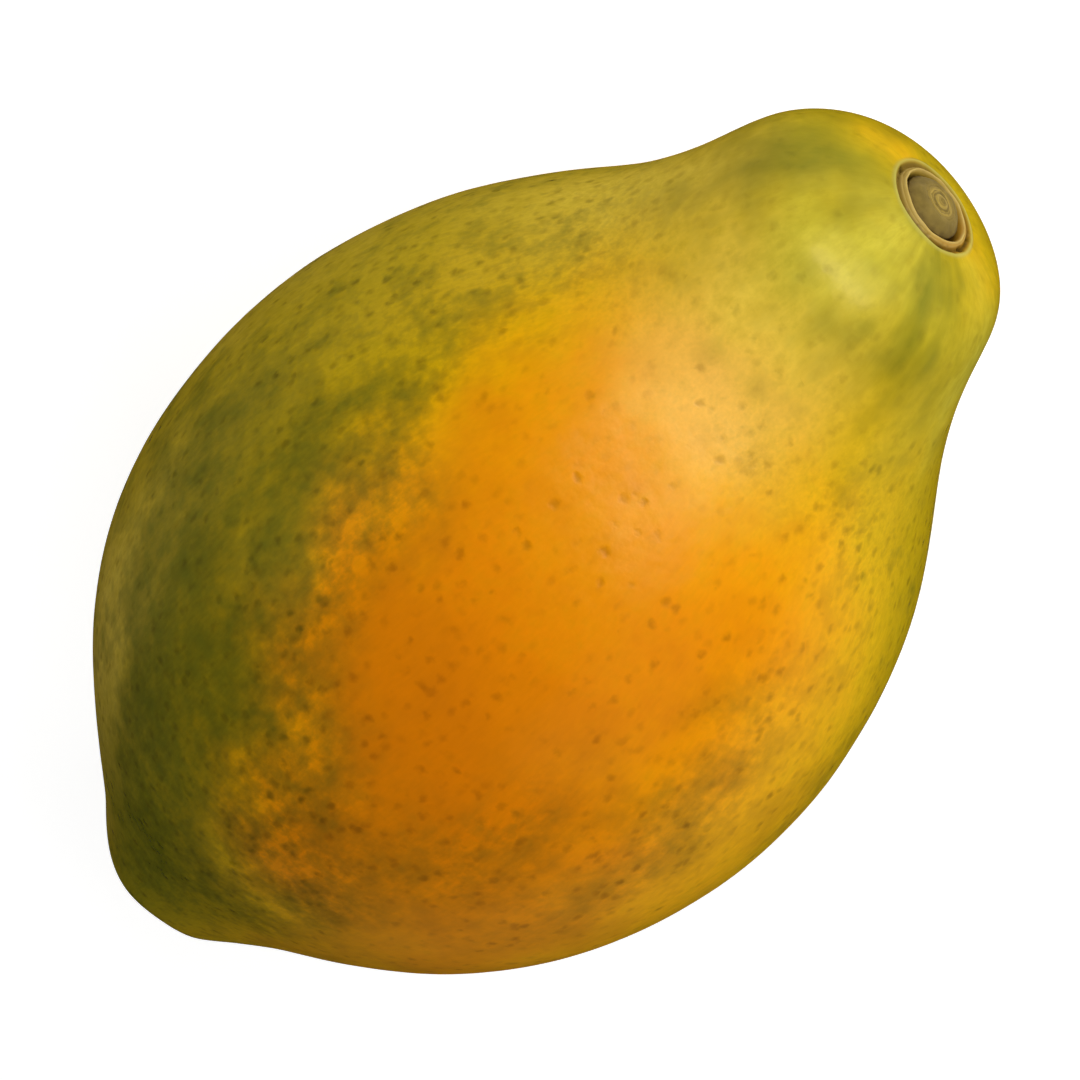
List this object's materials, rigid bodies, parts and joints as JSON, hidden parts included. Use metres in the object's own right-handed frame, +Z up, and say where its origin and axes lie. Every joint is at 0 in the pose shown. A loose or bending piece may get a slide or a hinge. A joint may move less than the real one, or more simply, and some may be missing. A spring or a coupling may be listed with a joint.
{
  "type": "papaya",
  "caption": "Whole ripe papaya: a pear-shaped tropical fruit lying on its side, with a blunt blossom end, a short neck and the dried end of its stalk in a ringed scar.",
  "frame": {"origin": "centre of the bottom of the bounding box, level with the flat spot that the fruit rests on", "axes": "+X along the fruit from the blossom end to the stem end, +Z up from the surface it lies on, +Y across it"},
  "size_m": [0.1516, 0.0926, 0.0912],
  "materials": {
    "skin": "smooth ripe skin, orange on the belly, yellow to olive green round it, with fine dark pores and a soft waxy sheen",
    "stalk": "dry grey-brown cork with growth rings"
  },
  "bodies": {
    "root": {"fruit": "skin", "stem_stub": "stalk"}
  },
  "joints": []
}
